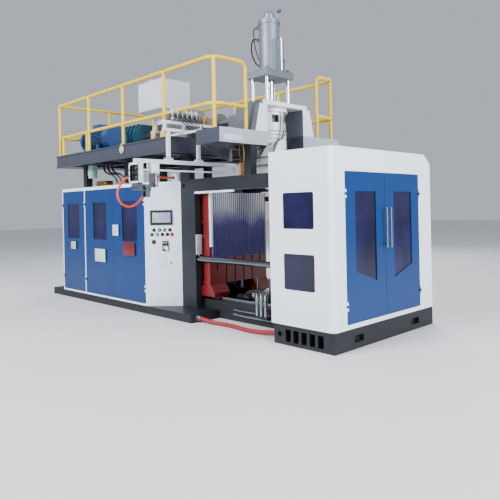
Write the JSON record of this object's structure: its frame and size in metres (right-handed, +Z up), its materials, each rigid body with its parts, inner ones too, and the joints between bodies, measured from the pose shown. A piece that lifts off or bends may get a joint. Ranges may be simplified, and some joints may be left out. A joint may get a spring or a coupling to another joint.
{
  "type": "accumulator head blow moulding machine",
  "caption": "Blow moulding machine with a sliding platen clamp, a cabinet with doors, a door housing and a raised extruder platform with handrails, die head, hopper and take-out arm.",
  "frame": {"origin": "on the floor under the axis of the die head, at the underside of the clamp bed", "axes": "+X along the clamp towards the housing with the double doors, +Y from the front to the back, +Z up"},
  "size_m": [6.966, 3.211, 4.464],
  "materials": {
    "base_paint": "dark grey paint",
    "bed_paint": "dark grey paint",
    "ground_steel": "ground steel",
    "frame_paint": "dark grey-blue paint",
    "white_paint": "white powder coat",
    "blue_paint": "blue powder coat",
    "tinted_pane": "dark tinted acrylic",
    "grey_paint": "grey paint",
    "panel_paint": "white powder coat",
    "black_plastic": "black plastic",
    "green_plastic": "green plastic",
    "grey_plastic": "light grey plastic",
    "red_plastic": "red plastic",
    "red_paint": "red enamel",
    "bar_steel": "hard-chromed",
    "cylinder_paint": "grey paint",
    "rod_chrome": "hard-chromed",
    "gear_steel": "machined steel",
    "sheet_plastic": "grey-violet plastic",
    "valve_steel": "grey steel",
    "pin_steel": "machined steel",
    "deck_paint": "grey-blue paint",
    "rail_paint": "yellow enamel",
    "portal_paint": "white-violet paint",
    "column_steel": "bright steel",
    "cylinder_steel": "machined steel",
    "head_steel": "machined steel",
    "band_steel": "heater band",
    "barrel_steel": "nitrided steel",
    "cover_steel": "stainless sheet",
    "adapter_steel": "machined steel",
    "gearbox_paint": "blue-green enamel",
    "motor_paint": "blue enamel",
    "hopper_steel": "stainless sheet",
    "arm_paint": "light grey paint",
    "orange_rubber": "orange hose",
    "red_rubber": "red hose"
  },
  "bodies": {
    "machine": {"base_left": "base_paint", "base_right": "base_paint", "clamp_bed": "bed_paint", "linear_rails": "ground_steel", "frame_columns": "frame_paint", "frame_beams": "frame_paint", "cabinet_shell": "white_paint", "hydraulic_unit": "grey_paint", "panel_casing": "panel_paint", "panel_fittings": "black_plastic", "housing_shell": "white_paint", "housing_windows": "tinted_pane", "blow_unit": "valve_steel", "platform_deck": "deck_paint", "handrail_posts": "rail_paint", "handrails": "rail_paint", "portal": "portal_paint", "head_columns": "column_steel", "push_cylinder": "cylinder_steel", "head_body": "head_steel", "heater_bands": "band_steel", "extruder_barrel": "barrel_steel", "barrel_cover": "cover_steel", "melt_adapter": "adapter_steel", "gearbox": "gearbox_paint", "main_motor": "motor_paint", "hopper": "hopper_steel", "takeout_arm": "arm_paint", "arm_hose": "orange_rubber", "floor_hose": "red_rubber"},
    "clamp_carriage": {"right_platen": "red_paint", "tie_bars": "bar_steel", "end_plate": "red_paint", "clamp_cylinder": "cylinder_paint", "right_rack": "gear_steel"},
    "left_carriage": {"left_platen": "red_paint", "clamp_rod": "rod_chrome", "left_rack": "gear_steel", "guard_sheet": "sheet_plastic"},
    "pinion": {"sync_pinion": "gear_steel"},
    "door_1": {"cabinet_door_1": "blue_paint", "cabinet_window_1": "tinted_pane"},
    "door_2": {"cabinet_door_2": "blue_paint", "cabinet_window_2": "tinted_pane"},
    "door_3": {"cabinet_door_3": "blue_paint", "cabinet_window_3": "tinted_pane"},
    "near_door": {"housing_door_near": "blue_paint", "housing_pane_near": "tinted_pane"},
    "far_door": {"housing_door_far": "blue_paint", "housing_pane_far": "tinted_pane"},
    "selector": {"selector_switch": "black_plastic"},
    "button_1": {"push_button_1": "green_plastic"},
    "button_2": {"push_button_2": "grey_plastic"},
    "stop_button": {"emergency_stop": "red_plastic"},
    "blow_slide": {"blow_pins": "pin_steel"},
    "ring_piston": {"push_rod": "rod_chrome"},
    "die_mandrel": {"mandrel": "rod_chrome"},
    "screw": {"extruder_screw": "gear_steel"},
    "lid": {"hopper_lid": "hopper_steel"},
    "gripper": {"takeout_gripper": "arm_paint"}
  },
  "joints": [
    {"name": "clamp_close", "type": "slide", "parent": "machine", "child": "clamp_carriage", "axis": [-1, 0, 0], "range_m": [0, 0.49]},
    {"name": "left_platen_close", "type": "slide", "parent": "machine", "child": "left_carriage", "axis": [1, 0, 0], "range_m": [0, 0.49]},
    {"name": "pinion_turn", "type": "hinge", "parent": "machine", "child": "pinion", "pos_m": [-1.5, 0, 0.37], "axis": [0, 0, 1], "range_deg": [-351, 0]},
    {"name": "door_1_hinge", "type": "hinge", "parent": "machine", "child": "door_1", "pos_m": [-4.52, -1.0905, 1], "axis": [0, 0, -1], "range_deg": [0, 110]},
    {"name": "door_2_hinge", "type": "hinge", "parent": "machine", "child": "door_2", "pos_m": [-3.645, -1.0905, 1], "axis": [0, 0, -1], "range_deg": [0, 110]},
    {"name": "door_3_hinge", "type": "hinge", "parent": "machine", "child": "door_3", "pos_m": [-1.72, -1.0905, 1], "axis": [0, 0, 1], "range_deg": [0, 110]},
    {"name": "near_door_hinge", "type": "hinge", "parent": "machine", "child": "near_door", "pos_m": [1.9105, -0.845, 1], "axis": [0, 0, -1], "range_deg": [0, 110]},
    {"name": "far_door_hinge", "type": "hinge", "parent": "machine", "child": "far_door", "pos_m": [1.9105, 0.749, 1], "axis": [0, 0, 1], "range_deg": [0, 110]},
    {"name": "selector_turn", "type": "hinge", "parent": "machine", "child": "selector", "pos_m": [-1.41281, -0.82358, 1.29], "axis": [-0.666, 0.7459, 0], "range_deg": [-45, 45]},
    {"name": "button_1_push", "type": "slide", "parent": "machine", "child": "button_1", "axis": [-0.666, 0.7459, 0], "range_m": [0, 0.005], "stiffness_N_per_m": 400},
    {"name": "button_2_push", "type": "slide", "parent": "machine", "child": "button_2", "axis": [-0.666, 0.7459, 0], "range_m": [0, 0.005], "stiffness_N_per_m": 400},
    {"name": "stop_push", "type": "slide", "parent": "machine", "child": "stop_button", "axis": [-0.666, 0.7459, 0], "range_m": [0, 0.005], "stiffness_N_per_m": 400},
    {"name": "blow_lift", "type": "slide", "parent": "machine", "child": "blow_slide", "axis": [0, 0, 1], "range_m": [0, 0.18]},
    {"name": "parison_push", "type": "slide", "parent": "machine", "child": "ring_piston", "axis": [0, 0, -1], "range_m": [0, 0.5]},
    {"name": "mandrel_shift", "type": "slide", "parent": "machine", "child": "die_mandrel", "axis": [0, 0, -1], "range_m": [0, 0.025]},
    {"name": "screw_turn", "type": "hinge", "parent": "machine", "child": "screw", "pos_m": [-2.3, 0, 2.96], "axis": [1, 0, 0], "continuous": true},
    {"name": "lid_hinge", "type": "hinge", "parent": "machine", "child": "lid", "pos_m": [-2.665, 0.317, 3.86], "axis": [-1, 0, 0], "range_deg": [0, 100]},
    {"name": "gripper_travel", "type": "slide", "parent": "machine", "child": "gripper", "axis": [0, 1, 0], "range_m": [0, 0.85]}
  ],
  "couplings": [
    {"joint": "left_platen_close", "follows": "clamp_close", "ratio": 1},
    {"joint": "pinion_turn", "follows": "clamp_close", "rad_per_m": -12.5}
  ]
}
